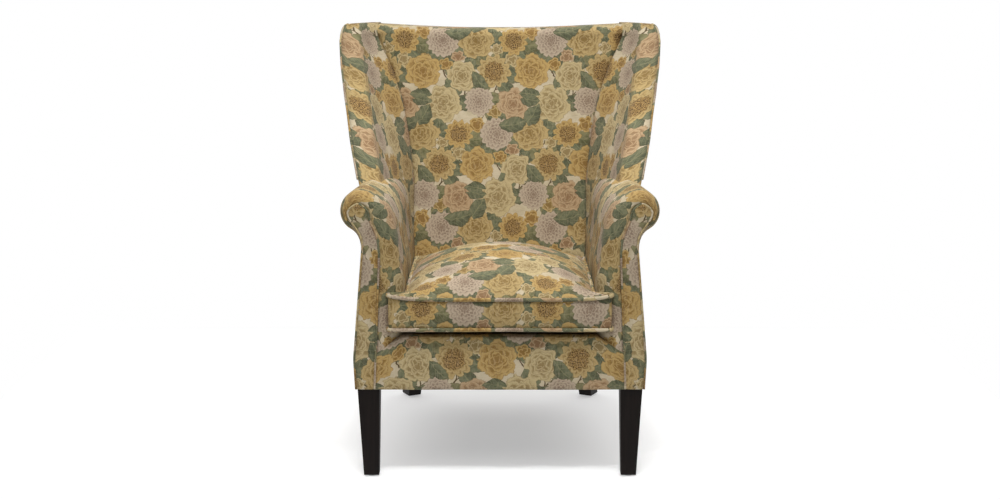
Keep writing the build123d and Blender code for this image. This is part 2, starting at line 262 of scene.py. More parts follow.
def weld(piece):
    """Joins doubled points where a grid closes on itself, and closes its ends."""
    work = bmesh.new()
    work.from_mesh(piece.data)
    bmesh.ops.remove_doubles(work, verts=work.verts, dist=1e-5)
    holes = [e for e in work.edges if e.is_boundary]
    if holes:
        bmesh.ops.holes_fill(work, edges=holes, sides=0)
    bmesh.ops.recalc_face_normals(work, faces=work.faces)
    work.to_mesh(piece.data)
    work.free()


def both_sides(name, rows, uvs, nodes):
    """The right piece and its mirror image, each standing for its CAD nodes."""
    for side, mirrored in (("right", False), ("left", True)):
        piece = grid_piece(f"{name}_{side}", rows, uvs, CLOTH_MATERIAL, mirrored=mirrored)
        finish_piece(piece, [f"{node}_{side}" for node in nodes])


def piping_both_sides(name, edge, radius, node):
    for side, sign in (("right", 1), ("left", -1)):
        path = [(sign * x, y, z) for x, y, z in edge]
        piece = tube(f"{name}_{side}", path, radius, CLOTH_MATERIAL)
        finish_piece(piece, [f"{node}_{side}"])


def finish_piece(piece, nodes, body="chair"):
    """Tells the frame which body carries the piece and which CAD nodes it stands for."""
    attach(piece, body)
    if nodes:
        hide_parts(*nodes)


# ---- node helpers ----
class Graph:
    """Short names for building shader nodes."""

    def __init__(self, tree):
        self.nodes = tree.nodes
        self.links = tree.links

    def node(self, kind, **settings):
        made = self.nodes.new(kind)
        for key, value in settings.items():
            setattr(made, key, value)
        return made

    def wire(self, source, target):
        if isinstance(source, (int, float)):
            target.default_value = source
        elif isinstance(source, (tuple, list)):
            filler = (1.0,) if len(target.default_value) > len(source) else ()
            target.default_value = (*source, *filler)
        else:
            self.links.new(source, target)

    def fill(self, node, named):
        for name, value in named.items():
            self.wire(value, node.inputs[name])

    def made(self, kind, *values, **settings):
        """A new node with its first inputs wired."""
        node = self.node(kind, **settings)
        for value, socket in zip(values, node.inputs):
            self.wire(value, socket)
        return node

    def math(self, operation, *values):
        return self.made("ShaderNodeMath", *values, operation=operation).outputs[0]

    def times(self, a, b):
        return self.math("MULTIPLY", a, b)

    def plus(self, a, b):
        return self.math("ADD", a, b)

    def minus(self, a, b):
        return self.math("SUBTRACT", a, b)

    def vector(self, operation, *values):
        made = self.made("ShaderNodeVectorMath", *values, operation=operation)
        return made.outputs["Value" if operation == "LENGTH" else "Vector"]

    def split(self, vector):
        made = self.made("ShaderNodeSeparateXYZ", vector)
        return made.outputs[0], made.outputs[1]

    def join(self, x, y, z=0.0):
        return self.made("ShaderNodeCombineXYZ", x, y, z).outputs[0]

    def ramp(self, value, low, high):
        """0 below low and 1 above high, with a smooth step between them."""
        made = self.made("ShaderNodeMapRange", value, low, high, interpolation_type="SMOOTHSTEP")
        return made.outputs["Result"]

    def mix(self, factor, a, b, blend="MIX"):
        made = self.made("ShaderNodeMix", factor, data_type="RGBA", blend_type=blend)
        self.wire(a, made.inputs[6])
        self.wire(b, made.inputs[7])
        return made.outputs[2]

    def noise(self, vector, scale, detail=2.0, rough=0.5):
        made = self.node("ShaderNodeTexNoise", noise_dimensions="3D")
        self.fill(made, {"Vector": vector, "Scale": scale, "Detail": detail, "Roughness": rough})
        return made.outputs["Fac"]


def new_material(name):
    material = bpy.data.materials.new(name)
    material.use_nodes = True
    material.node_tree.nodes.clear()
    graph = Graph(material.node_tree)
    shader = graph.node("ShaderNodeBsdfPrincipled")
    out = graph.node("ShaderNodeOutputMaterial")
    graph.links.new(shader.outputs[0], out.inputs[0])
    return material, graph, shader


def bump(graph, shader, height, distance, strength=0.6):
    made = graph.node("ShaderNodeBump")
    graph.fill(made, {"Strength": strength, "Distance": distance, "Height": height})
    graph.wire(made.outputs[0], shader.inputs["Normal"])


# ---- the printed cloth ----
COLUMN = 0.148           # the print repeats in columns this far apart
REPEAT = 0.51            # and this far up a column; the next column is half a repeat higher
PRINT_SEED = 11


def new_group(name, inputs, outputs):
    """An empty node group with named sockets, its graph and its input values."""
    kinds = {"V": "NodeSocketVector", "F": "NodeSocketFloat", "C": "NodeSocketColor"}
    tree = bpy.data.node_groups.new(name, "ShaderNodeTree")
    for way, labels in (("INPUT", inputs), ("OUTPUT", outputs)):
        for label, kind in labels:
            tree.interface.new_socket(label, in_out=way, socket_type=kinds[kind])
    g = Graph(tree)
    return tree, g, g.node("NodeGroupInput").outputs


def place_group():
    """Takes over a layer's coordinates and colours wherever this motif is the nearest one."""
    inputs = [("Cloth", "V"), ("Centre", "V"), ("Cos", "F"), ("Sin", "F"), ("Local", "V"), ("Dark", "C")]
    inputs += [("Light", "C"), ("New Dark", "C"), ("New Light", "C")]
    tree, g, given = new_group("print_place", inputs, [("Local", "V"), ("Dark", "C"), ("Light", "C")])
    x, y = g.split(g.vector("SUBTRACT", given["Cloth"], given["Centre"]))
    column = g.math("ROUND", g.math("DIVIDE", x, COLUMN))
    x = g.minus(x, g.times(column, COLUMN))
    y = g.minus(y, g.times(column, REPEAT / 2))
    y = g.math("WRAP", y, REPEAT / 2, -REPEAT / 2)
    across = g.minus(g.times(x, given["Cos"]), g.times(y, given["Sin"]))
    along = g.plus(g.times(x, given["Sin"]), g.times(y, given["Cos"]))
    local = g.join(across, along)
    nearer = g.math("LESS_THAN", g.vector("LENGTH", local), g.vector("LENGTH", given["Local"]))
    chosen = g.made("ShaderNodeMix", nearer, data_type="VECTOR")
    g.wire(given["Local"], chosen.inputs[4])
    g.wire(local, chosen.inputs[5])
    dark = g.mix(nearer, given["Dark"], given["New Dark"])
    light = g.mix(nearer, given["Light"], given["New Light"])
    g.made("NodeGroupOutput", chosen.outputs[1], dark, light)
    return tree


def paint_group(kind, paint):
    """Paints one layer of a kind of motif over the colour under it."""
    inputs = [("Local", "V"), ("Grain", "F"), ("Speck", "F"), ("Dark", "C"), ("Light", "C"), ("Under", "C")]
    tree, g, given = new_group("print_" + kind, inputs, [("Colour", "C")])
    mask, colour = paint(g, *[given[label] for label, _ in inputs[:5]])
    g.made("NodeGroupOutput", g.mix(mask, given["Under"], colour))
    return tree


def polar(g, local):
    x, y = g.split(local)
    return g.vector("LENGTH", local), g.math("ARCTAN2", y, x)


def loosened(g, radius, grain, amount):
    """A radius that wanders with the hand of the drawing."""
    return g.plus(radius, g.times(g.minus(grain, 0.5), amount))


def lobes(g, angle, size, count, turn, depth):
    """The outline of a ring of count petals."""
    phase = g.times(g.plus(angle, turn), count / 2)
    wave = g.math("ABSOLUTE", g.math("COSINE", phase))
    return g.plus(g.times(wave, size * depth), size * (1 - depth))


def ringed(g, local, grain, speck, dark, light, rings, wander):
    """Rings of petals laid over each other, each pale at its rim and dark at its root."""
    radius, angle = polar(g, local)
    loose = loosened(g, radius, grain, wander)
    streak = g.times(g.minus(speck, 0.5), 0.9)
    colour = dark
    mask = None
    for size, count, turn, depth in rings:
        inside = g.minus(lobes(g, angle, size, count, turn, depth), loose)
        cover = g.ramp(inside, -0.012, 0.012)
        root = g.ramp(inside, 0.02, size * 0.42)
        tone = g.ramp(g.plus(g.minus(0.92, root), streak), 0.0, 1.0)
        petal = g.mix(tone, dark, light)
        line = g.ramp(inside, 0.055, 0.012)
        petal = g.mix(g.times(line, 0.55), petal, g.mix(0.55, dark, OUTLINE))
        colour = g.mix(cover, colour, petal)
        mask = mask or cover
    return mask, colour


# each ring: size, count of petals, turn, depth of the notches
PEONY = [(1.0, 6, 0.0, 0.17), (0.80, 5, 0.5, 0.2), (0.60, 5, 1.3, 0.22)]
PEONY += [(0.41, 4, 0.2, 0.24), (0.23, 3, 0.9, 0.3)]
DAHLIA = [(1.0, 17, 0.0, 0.12), (0.79, 15, 0.2, 0.15), (0.58, 13, 0.1, 0.18)]
DAHLIA += [(0.38, 9, 0.3, 0.22), (0.2, 7, 0.0, 0.3)]
SUNFLOWER = [(1.0, 12, 0.0, 0.2), (0.80, 11, 0.3, 0.22)]
BUD = [(1.0, 5, 0.0, 0.3), (0.62, 3, 0.5, 0.34)]


def flower(rings, wander):
    """The painter of a flower whose petals lie in these rings."""
    def paint(g, *given):
        return ringed(g, *given, rings, wander)
    return paint


def paint_sunflower(g, local, grain, speck, dark, light):
    """Broad petals round a large speckled brown centre."""
    mask, colour = ringed(g, local, grain, speck, dark, light, SUNFLOWER, 0.3)
    loose = loosened(g, g.vector("LENGTH", local), grain, 0.3)
    seeds = g.mix(g.ramp(speck, 0.44, 0.56), (0.085, 0.045, 0.018), (0.40, 0.25, 0.085))
    return mask, g.mix(g.ramp(loose, 0.60, 0.50), colour, seeds)


def paint_leaf(g, local, grain, speck, dark, light):
    """A pointed leaf with a pale midrib and side veins."""
    x, y = g.split(local)
    y = g.minus(y, g.times(g.times(x, x), 0.2))
    half = g.times(g.minus(1.0, g.times(x, x)), 0.54)
    half = g.plus(half, g.times(x, -0.13))
    half = loosened(g, half, grain, 0.22)
    across = g.math("ABSOLUTE", y)
    inside = g.minus(half, across)
    slant = g.minus(g.times(x, 15.0), g.times(across, 15.0))
    veins = g.ramp(g.math("SINE", slant), 0.7, 1.0)
    rib = g.ramp(across, 0.045, 0.015)
    base = g.mix(g.ramp(g.plus(grain, g.times(y, 0.35)), 0.25, 0.8), dark, light)
    veined = g.math("MAXIMUM", g.times(veins, 0.28), g.times(rib, 0.5))
    colour = g.mix(veined, base, (0.30, 0.29, 0.15))
    edge = g.times(g.ramp(inside, 0.08, 0.02), 0.6)
    return g.ramp(inside, 0.0, 0.03), g.mix(edge, colour, OUTLINE)


def paint_stem(g, local, grain, speck, dark, light):
    """A thin curved stem that forks once."""
    x, y = g.split(local)
    sway = g.times(g.math("SINE", g.times(y, 2.6)), 0.16)
    fork = g.math("ABSOLUTE", g.minus(x, sway))
    spread = g.times(g.math("MAXIMUM", y, 0.0), 0.5)
    line = g.math("ABSOLUTE", g.minus(fork, spread))
    mask = g.times(g.ramp(line, 0.045, 0.028), g.ramp(g.math("ABSOLUTE", y), 1.0, 0.93))
    return mask, g.mix(g.ramp(y, -0.5, 1.0), dark, light)


OUTLINE = (0.085, 0.060, 0.028)
OCHRE = ((0.235, 0.145, 0.045), (0.500, 0.365, 0.160))
GOLD = ((0.245, 0.135, 0.036), (0.510, 0.345, 0.125))
STRAW = ((0.270, 0.190, 0.080), (0.550, 0.440, 0.235))
PEACH = ((0.260, 0.150, 0.075), (0.500, 0.350, 0.200))
MAUVE = ((0.255, 0.180, 0.130), (0.500, 0.405, 0.300))
SAGE = ((0.068, 0.082, 0.048), (0.170, 0.178, 0.102))
MOSS = ((0.085, 0.090, 0.042), (0.215, 0.200, 0.100))
TWIG = ((0.075, 0.045, 0.022), (0.13, 0.10, 0.05))
GROUND = (0.60, 0.51, 0.365)
GROUND_SHADE = (0.50, 0.42, 0.28)
DEEPEN = (0.86, 0.86, 0.85)      # the finished colours are multiplied by this
FLORAL_THREADS = 620.0           # threads in each metre

# kind, radius and colours of the large blooms, in the order that they are placed
BLOOMS = [
    ("peony", 0.053, STRAW),
    ("sunflower", 0.047, OCHRE),
    ("dahlia", 0.045, MAUVE),
    ("peony", 0.050, GOLD),
    ("peony", 0.046, PEACH),
    ("dahlia", 0.040, MAUVE),
    ("peony", 0.050, OCHRE),
    ("sunflower", 0.040, GOLD),
    ("peony", 0.044, STRAW),
]
BUDS = [GOLD, PEACH, STRAW, GOLD, OCHRE, STRAW]


def print_gap(a, b):
    """The distance between two places of the print, over all its repeats."""
    best = REPEAT
    for k in (-2, -1, 0, 1, 2):
        dx = a[0] - b[0] - k * COLUMN
        dy = (a[1] - b[1] - k * REPEAT / 2 + REPEAT / 2) % REPEAT - REPEAT / 2
        best = min(best, math.hypot(dx, dy))
    return best


def roomiest(chance, taken):
    """The emptiest of many tried places."""
    tried = [(chance.uniform(0, COLUMN), chance.uniform(0, REPEAT)) for _ in range(400)]
    return max(tried, key=lambda p: min([print_gap(p, q) - r for q, r in taken] + [REPEAT]))


def lay_out_print():
    """The layers of one repeat from the lowest up, each a kind and its motifs."""
    chance = random.Random(PRINT_SEED)
    blooms = {"peony": [], "dahlia": [], "sunflower": []}
    taken = []
    stems = []
    leaves = [[], [], [], []]
    for kind, size, tint in BLOOMS:
        x, y = roomiest(chance, taken)
        taken.append(((x, y), size))
        blooms[kind].append(((x, y), chance.uniform(0, math.tau), size, tint))
        stems.append(((x + 0.004, y - 0.052), chance.uniform(-0.3, 0.3), 0.050, TWIG))
        start = chance.uniform(0, math.tau)
        for k, layer in enumerate(leaves):
            way = start + math.tau * k / 4 + chance.uniform(-0.35, 0.35)
            reach = size + chance.uniform(0.002, 0.015)
            centre = (x + reach * math.cos(way), y + reach * math.sin(way))
            tint = chance.choice((SAGE, SAGE, MOSS))
            layer.append((centre, -way - chance.uniform(-0.5, 0.5), chance.uniform(0.032, 0.042), tint))
    buds = []
    for tint in BUDS:
        centre = roomiest(chance, taken)
        taken.append((centre, 0.016))
        buds.append((centre, chance.uniform(0, math.tau), chance.uniform(0.017, 0.024), tint))
    order = [("stem", stems), ("leaf", leaves[0]), ("leaf", leaves[1]), ("leaf", leaves[2]), ("bud", buds)]
    order += list(blooms.items())
    return order + [("leaf", leaves[3][::2])]


# each is given the same values, and takes those that its motif needs
PAINTERS = {
    "peony": flower(PEONY, 0.42),
    "bud": flower(BUD, 0.5),
    "dahlia": flower(DAHLIA, 0.24),
    "sunflower": paint_sunflower,
    "leaf": paint_leaf,
    "stem": paint_stem,
}


def weave(g, cloth, threads):
    """Height of a plain weave of uneven, slubby threads, and its faded marks."""
    across, up = g.split(cloth)
    warp = g.math("SINE", g.times(across, threads * math.tau))
    weft = g.math("SINE", g.times(up, threads * math.tau))
    over = g.times(warp, g.plus(weft, 0.6))
    height = g.math("MAXIMUM", over, g.times(weft, -0.8))
    slub_up = g.noise(g.vector("MULTIPLY", cloth, (900.0, 34.0, 1.0)), 1.0, 2.0, 0.6)
    slub_across = g.noise(g.vector("MULTIPLY", cloth, (34.0, 800.0, 1.0)), 1.0, 2.0, 0.6)
    return height, slub_up, slub_across


def hand_drawn(g, uv):
    """The cloth's coordinates, shifted a little as if the print were drawn by hand."""
    wander = g.node("ShaderNodeTexNoise", noise_dimensions="3D")
    g.fill(wander, {"Vector": uv, "Scale": 60.0, "Detail": 2.5})
    shift = g.vector("SUBTRACT", wander.outputs["Color"], (0.5, 0.5, 0.5))
    return g.vector("ADD", uv, g.vector("MULTIPLY", shift, (0.012, 0.012, 0.0)))


def printed(g, uv, speck):
    """The colour of the print: the ground, then each layer of motifs over it."""
    hand = hand_drawn(g, uv)
    grain = g.noise(uv, 75.0, 2.0)
    mottle = g.noise(uv, 30.0, 3.0)
    colour = g.mix(g.ramp(mottle, 0.35, 0.7), GROUND, GROUND_SHADE)
    place = place_group()
    groups = {kind: paint_group(kind, paint) for kind, paint in PAINTERS.items()}
    for kind, motifs in lay_out_print():
        layer = ((9.0, 9.0, 0.0), (0, 0, 0), (0, 0, 0))
        for centre, turn, size, (dark, light) in motifs:
            across = math.cos(turn) / size
            along = math.sin(turn) / size
            values = (hand, (*centre, 0.0), across, along, *layer, dark, light)
            layer = tuple(g.made("ShaderNodeGroup", *values, node_tree=place).outputs)
        local, dark, light = layer
        values = (local, grain, speck, dark, light, colour)
        colour = g.made("ShaderNodeGroup", *values, node_tree=groups[kind]).outputs[0]
    return colour


def floral_cloth():
    material, g, shader = new_material("floral_cloth")
    uv = g.node("ShaderNodeUVMap", uv_map="cloth").outputs[0]
    speck = g.noise(uv, 330.0, 2.0, 0.6)
    colour = printed(g, uv, speck)
    height, slub_up, slub_across = weave(g, uv, FLORAL_THREADS)
    marks = [
        (speck, 0.35, 0.75, 0.16, (0.26, 0.18, 0.09)),           # brown specks
        (slub_up, 0.54, 0.74, 0.34, (0.56, 0.47, 0.32)),         # threads that took less colour
        (slub_across, 0.56, 0.76, 0.28, (0.52, 0.43, 0.28)),
        (slub_across, 0.44, 0.28, 0.30, (0.13, 0.09, 0.045)),    # and threads that took more
    ]
    for source, low, high, strength, tint in marks:
        share = g.times(g.ramp(source, low, high), strength)
        colour = g.mix(share, colour, tint)
    colour = g.mix(1.0, colour, DEEPEN, "MULTIPLY")
    rough = g.plus(g.times(slub_up, 0.16), 0.80)
    g.fill(shader, {"Base Color": colour, "Roughness": rough, "Specular IOR Level": 0.18})
    g.fill(shader, {"Sheen Weight": 0.06, "Sheen Roughness": 0.5})
    threads = g.plus(g.times(height, 0.35), g.plus(slub_up, slub_across))
    bump(g, shader, threads, 0.0006, 0.7)
    return material


def plain_cloth(name, dark, light, threads, rough):
    material, g, shader = new_material(name)
    uv = g.node("ShaderNodeUVMap", uv_map="cloth").outputs[0]
    height, slub_up, slub_across = weave(g, uv, threads)
    blend = g.times(g.plus(slub_up, slub_across), 0.5)
    colour = g.mix(g.ramp(blend, 0.3, 0.7), dark, light)
    rough = g.plus(g.times(slub_up, 0.1), rough)
    g.fill(shader, {"Base Color": colour, "Roughness": rough, "Sheen Weight": 0.1})
    bump(g, shader, g.plus(height, blend), 0.0004)
    return material


def grained(name, dark, light, rough, direction, gloss=0.5):
    """Timber, with its grain running along one axis of the frame."""
    material, g, shader = new_material(name)
    where = g.node("ShaderNodeTexCoord").outputs["Object"]
    stretch = {"x": (6.0, 90.0, 90.0), "y": (90.0, 6.0, 90.0), "z": (90.0, 90.0, 6.0)}[direction]
    long = g.vector("MULTIPLY", where, stretch)
    rings = g.noise(long, 1.0, 4.0, 0.6)
    pores = g.noise(g.vector("MULTIPLY", where, tuple(s * 7 for s in stretch)), 1.0, 2.0)
    tone = g.plus(g.times(rings, 0.75), g.times(pores, 0.25))
    colour = g.mix(g.ramp(tone, 0.34, 0.66), dark, light)
    rough = g.plus(g.times(pores, 0.16), rough)
    g.fill(shader, {"Base Color": colour, "Roughness": rough, "Specular IOR Level": gloss})
    bump(g, shader, tone, 0.0004, 0.35)
    return material


def worn_metal(name, colour, rough):
    material, g, shader = new_material(name)
    where = g.node("ShaderNodeTexCoord").outputs["Object"]
    scratch = g.noise(g.vector("MULTIPLY", where, (900.0, 120.0, 120.0)), 1.0, 3.0)
    colour = g.mix(scratch, colour, tuple(c * 0.7 for c in colour))
    rough = g.plus(g.times(scratch, 0.25), rough)
    g.fill(shader, {"Base Color": colour, "Roughness": rough, "Metallic": 1.0})
    return material


def plain_solid(name, dark, light, rough, scale):
    material, g, shader = new_material(name)
    where = g.node("ShaderNodeTexCoord").outputs["Object"]
    mottle = g.noise(where, scale, 4.0)
    colour = g.mix(g.ramp(mottle, 0.3, 0.7), dark, light)
    g.fill(shader, {"Base Color": colour, "Roughness": g.plus(g.times(mottle, 0.15), rough)})
    bump(g, shader, mottle, 0.0005)
    return material


CLOTH_MATERIAL = floral_cloth()
LINING = plain_cloth("lining_cloth", (0.20, 0.17, 0.13), (0.30, 0.26, 0.20), 500.0, 0.82)
CAMBRIC = plain_cloth("cambric", (0.012, 0.012, 0.013), (0.03, 0.03, 0.032), 700.0, 0.85)
LEG_WOOD = grained("dark_wood", (0.0035, 0.0020, 0.0016), (0.0085, 0.0050, 0.0038), 0.42, "z", gloss=0.14)
BEECH = grained("beech", (0.42, 0.27, 0.15), (0.58, 0.41, 0.25), 0.55, "x")
STEEL = worn_metal("steel", (0.55, 0.55, 0.56), 0.3)
HESSIAN = plain_solid("hessian", (0.30, 0.20, 0.10), (0.46, 0.34, 0.19), 0.85, 400.0)
PLASTIC = plain_solid("clip_plastic", (0.02, 0.02, 0.02), (0.04, 0.04, 0.04), 0.5, 300.0)
FOAM = plain_solid("foam", (0.62, 0.58, 0.44), (0.76, 0.72, 0.58), 0.9, 500.0)
BOARD = plain_solid("board", (0.32, 0.24, 0.14), (0.42, 0.33, 0.21), 0.85, 150.0)


# ---- arms ----
def arm_curve(back):
    """The arm's outline from its inner bottom edge over the scroll to its outer bottom edge."""
    inner = between(0.233, 0.2345, back)
    centre = (between(0.3275, 0.292, back), between(0.645, 0.640, back))
    radius = between(0.049, 0.033, back)
    neck = between(0.326, back_half(0.572) + 0.001, back)
    widest = between(0.3496, back_half(0.293) + 0.001, back)
    base = between(0.346, back_half(BASE_Z) + 0.001, back)
    shoulder = (between(0.266, 0.255, back), between(0.650, 0.640, back))
    turn = math.radians(-76)
    lip = (centre[0] + radius * math.cos(turn), centre[1] + radius * math.sin(turn))
    crest = (centre[0], centre[1] + radius)
    outermost = (centre[0] + radius, centre[1])
    points = [(inner, BASE_Z)]
    points += line_to(points[-1], (inner, 0.490), 16)
    points += line_to(points[-1], (inner + 0.014, 0.585), 7)
    points += arc_through(points[-1], shoulder, crest, 14)
    points += arc_through(crest, outermost, lip, 26)
    points += line_to(points[-1], (neck, 0.572), 3)
    points += line_to(points[-1], (widest, 0.293), 18)
    points += line_to(points[-1], (base, BASE_Z), 6)
    return eased(points, 3)


# the seam round the facing: its inner and outer edge, and the round head above them
SEAM_LEFT = [
    (0.217, 0.300), (0.308, 0.296), (0.546, 0.285), (0.585, 0.2885),
    (0.612, 0.300), (0.630, 0.3085), (0.640, 0.308),
]
SEAM_RIGHT = [
    (0.217, 0.3445), (0.293, 0.3480), (0.560, 0.3245), (0.585, 0.3255),
    (0.604, 0.336), (0.617, 0.346), (0.640, 0.360),
]
HEAD = (0.334, 0.640)
HEAD_R = 0.026


def facing_span(z):
    """The facing's left and right edges at a height."""
    if z <= HEAD[1]:
        return look_up(SEAM_LEFT, z), look_up(SEAM_RIGHT, z)
    half = math.sqrt(max(HEAD_R ** 2 - (z - HEAD[1]) ** 2, 0.0))
    return HEAD[0] - half, HEAD[0] + half


def on_head(degrees):
    angle = math.radians(degrees)
    return HEAD[0] + HEAD_R * math.cos(angle), HEAD[1] + HEAD_R * math.sin(angle)


def facing_targets(curve):
    """For each point of the arm's front outline, where the cloth is sewn to the facing."""
    crest = max(range(len(curve)), key=lambda i: curve[i][1])
    start = next(i for i, p in enumerate(curve) if p[1] > 0.600)
    end = max(i for i, p in enumerate(curve) if p[1] > 0.596)
    targets = []
    for i, (_, z) in enumerate(curve):
        if i < start:
            targets.append((look_up(SEAM_LEFT, z), z))
        elif i > end:
            targets.append((look_up(SEAM_RIGHT, z), z))
        elif i <= crest:
            targets.append(on_head(between(205, 90, (i - start) / (crest - start))))
        else:
            targets.append(on_head(between(90, -62, (i - crest) / (end - crest))))
    return eased(targets, 4)


def arm_rows():
    """Rows from the back forwards, then round the front edge in to the seam."""
    front = arm_curve(0)
    rear = arm_curve(1)
    targets = facing_targets(front)
    rows = []
    steps = 34
    for k in range(steps + 1):
        s = 1 - k / steps
        row = []
        for (fx, fz), (rx, rz) in zip(front, rear):
            z = between(fz, rz, s)
            row.append((between(fx, rx, s), between(ARM_FULL_Y, outside_back_y(z) - 0.001, s), z))
        rows.append(row)
    turns = 12
    for k in range(1, turns + 1):
        angle = math.pi / 2 * k / turns
        row = []
        for i, ((fx, fz), (tx, tz)) in enumerate(zip(front, targets)):
            reach = 1 - math.cos(angle)
            dip = 0.0022 * smooth((k / turns - 0.8) / 0.2)
            y = between(ARM_FULL_Y, SEAM_Y, math.sin(angle)) + dip
            width = math.hypot(tx - fx, tz - fz)
            pleat = math.sin(i * 1.9) * 0.0011 * smooth(k / turns * 1.3) * min(width / 0.02, 1)
            row.append((between(fx, tx, reach), y + pleat, between(fz, tz, reach)))
        rows.append(row)
    return crumple(rows, 0.11, 0.0022, 1)


def build_arms():
    rows = arm_rows()
    uvs = arc_uvs(rows, u0=0.03, v0=0.12, turned=True)
    both_sides("arm_upholstery", rows, uvs, ["arm_cover", "arm_pad", "outside_arm_panel"])


def build_facings():
    rows = []
    count = 46
    top = HEAD[1] + HEAD_R - 0.0004
    for j in range(count + 1):
        z = between(BASE_Z + 0.001, top, j / count)
        left, right = facing_span(z)
        row = []
        for i in range(11):
            u = i / 10
            puff = 0.0035 * (1 - (2 * u - 1) ** 4)
            row.append((between(left, right, u), SEAM_Y - 0.001 - puff, z))
        rows.append(row)
    uvs = [[(x + 0.02, z - 0.05) for x, _, z in row] for row in rows]
    both_sides("arm_front_panel", rows, uvs, ["arm_facing"])
    outline = [(row[0][0], row[0][2]) for row in rows]
    outline += [(HEAD[0], HEAD[1] + HEAD_R)]
    outline += [(row[-1][0], row[-1][2]) for row in reversed(rows)]
    edge = eased([(x, SEAM_Y - 0.002, z) for x, z in outline], 1)
    piping_both_sides("arm_front_piping", edge, CORD * 0.6, "facing_piping")


# ---- wings ----
# at each height, the x of the front roll's outer and inner side and the y of its front
WING_OUTER = [
    (0.50, 0.262), (0.60, 0.300), (0.64, 0.336), (0.665, 0.351), (0.688, 0.357),
    (0.78, 0.381), (0.875, 0.403), (0.95, 0.417), (1.017, 0.4265), (1.03, 0.4255),
]
WING_INNER = [
    (0.50, 0.252), (0.60, 0.272), (0.64, 0.292), (0.688, 0.300), (0.78, 0.323),
    (0.875, 0.344), (0.95, 0.359), (1.017, 0.371), (1.03, 0.372),
]
WING_FRONT = [
    (0.50, 0.460), (0.60, 0.330), (0.64, 0.226), (0.688, 0.274),
    (0.875, 0.462), (0.98, 0.563), (1.017, 0.600), (1.03, 0.614),
]
WING_LOW_Z = 0.500       # the wing's cloth starts here, inside the arm
WING_ROLL_DEPTH = 0.024
WING_CORNER = 5          # point of the outline at the wing's rear corner
WING_SEAM = 24           # point of the outline at the piping


def hollow_to(start, crease, count):
    """The hollow inside of the wing, a curve from its roll to the crease."""
    hollow = min(0.030, 0.16 * math.dist(start, crease))
    pull_x = between(start[0], crease[0], 0.55) + hollow
    pull_y = between(start[1], crease[1], 0.45) + hollow * 0.6
    points = []
    for k in range(1, count + 1):
        t = k / count
        x = (1 - t) ** 2 * start[0] + 2 * t * (1 - t) * pull_x + t * t * crease[0]
        y = (1 - t) ** 2 * start[1] + 2 * t * (1 - t) * pull_y + t * t * crease[1]
        points.append((x, y))
    return points


def wing_section(z):
    """The wing's outline at a height, from its outer rear edge round to the crease."""
    outer = look_up(WING_OUTER, z)
    inner = look_up(WING_INNER, z)
    front = look_up(WING_FRONT, z)
    inset = 0.03 * smooth((0.645 - z) / 0.04)
    rear = (back_half(z) - inset, outside_back_y(z) - 0.001 - inset)
    crease = (crease_x(z), inside_back_y(z))
    roll = (outer - inner) / 2
    middle = ((outer + inner) / 2, front + WING_ROLL_DEPTH)
    hidden = (crease_x(z) - 0.004 - inset, outside_back_y(z) - 0.004 - inset)
    points = [hidden, *line_to(hidden, rear, 5)]
    flank = line_to(rear, (outer, middle[1]), 18)
    for k, (x, y) in enumerate(flank):
        points.append((x + 0.005 * math.sin(math.pi * (k + 1) / 18), y))
    for k in range(1, 15):
        angle = math.pi * k / 14
        wide = math.copysign(abs(math.cos(angle)) ** 0.8, math.cos(angle))
        points.append((middle[0] + roll * wide, middle[1] - 0.026 * math.sin(angle) ** 0.8))
    points += hollow_to(points[-1], crease, 20)
    points.append((crease[0] + 0.002, crease[1] + 0.012))
    points.append((crease[0] + 0.003, crease[1] + 0.030))
    return eased(points, 1)


def wing_rows():
    """Rows from the bottom up, closing over the rounded top edge."""
    rows = []
    steps = 48
    for j in range(steps + 1):
        z = between(WING_LOW_Z, WING_ROUND_Z, j / steps)
        rows.append([(x, y, z) for x, y in wing_section(z)])
    top = wing_section(WING_ROUND_Z)
    count = len(top)
    spine = []
    tip = []
    for i in range(count):
        partner = top[count - 1 - i]
        spine.append(((top[i][0] + partner[0]) / 2, (top[i][1] + partner[1]) / 2))
        tip.append(0.030 * smooth(1 - abs(2 * i / (count - 1) - 1)) ** 2)
    rise = WING_TOP_Z - WING_ROUND_Z
    turns = 12
    for k in range(1, turns + 1):
        angle = math.pi / 2 * k / turns
        row = []
        for (x, y), (sx, sy), back in zip(top, spine, tip):
            shrink = math.cos(angle) ** 0.6 if k < turns else 0.0
            y = between(sy, y, shrink) + back * math.sin(angle)
            row.append((between(sx, x, shrink), y, WING_ROUND_Z + rise * math.sin(angle)))
        rows.append(row)
    return crumple(rows, 0.13, 0.0020, 2)


def build_wings():
    rows = wing_rows()
    outside = [row[:WING_SEAM + 1] for row in rows]
    uvs = arc_uvs(outside, u0=0.05, v0=0.500, anchor=WING_CORNER)
    both_sides("outside_wing_upholstery", outside, uvs, ["outside_wing_panel"])
    inside = [row[WING_SEAM:] for row in rows]
    uvs = arc_uvs(inside, v0=0.520, anchor=len(inside[0]) - 1)
    uvs = [[(0.232 - u, v) for u, v in row] for row in uvs]
    both_sides("inside_wing_upholstery", inside, uvs, ["wing_cover", "wing_pad"])
    edge = [row[WING_SEAM] for row in rows[2:-1]]
    edge = [(x + 0.002, y - 0.001, z) for x, y, z in edge if z > 0.684]
    piping_both_sides("wing_edge_piping", edge, CORD * 0.8, "wing_piping")


# ---- back ----
def top_sweep(x, z):
    """How far the back's top edge rises towards the wings."""
    return 0.012 * smooth((z - 0.93) / 0.10) * min(abs(x) / 0.34, 1.1) ** 2


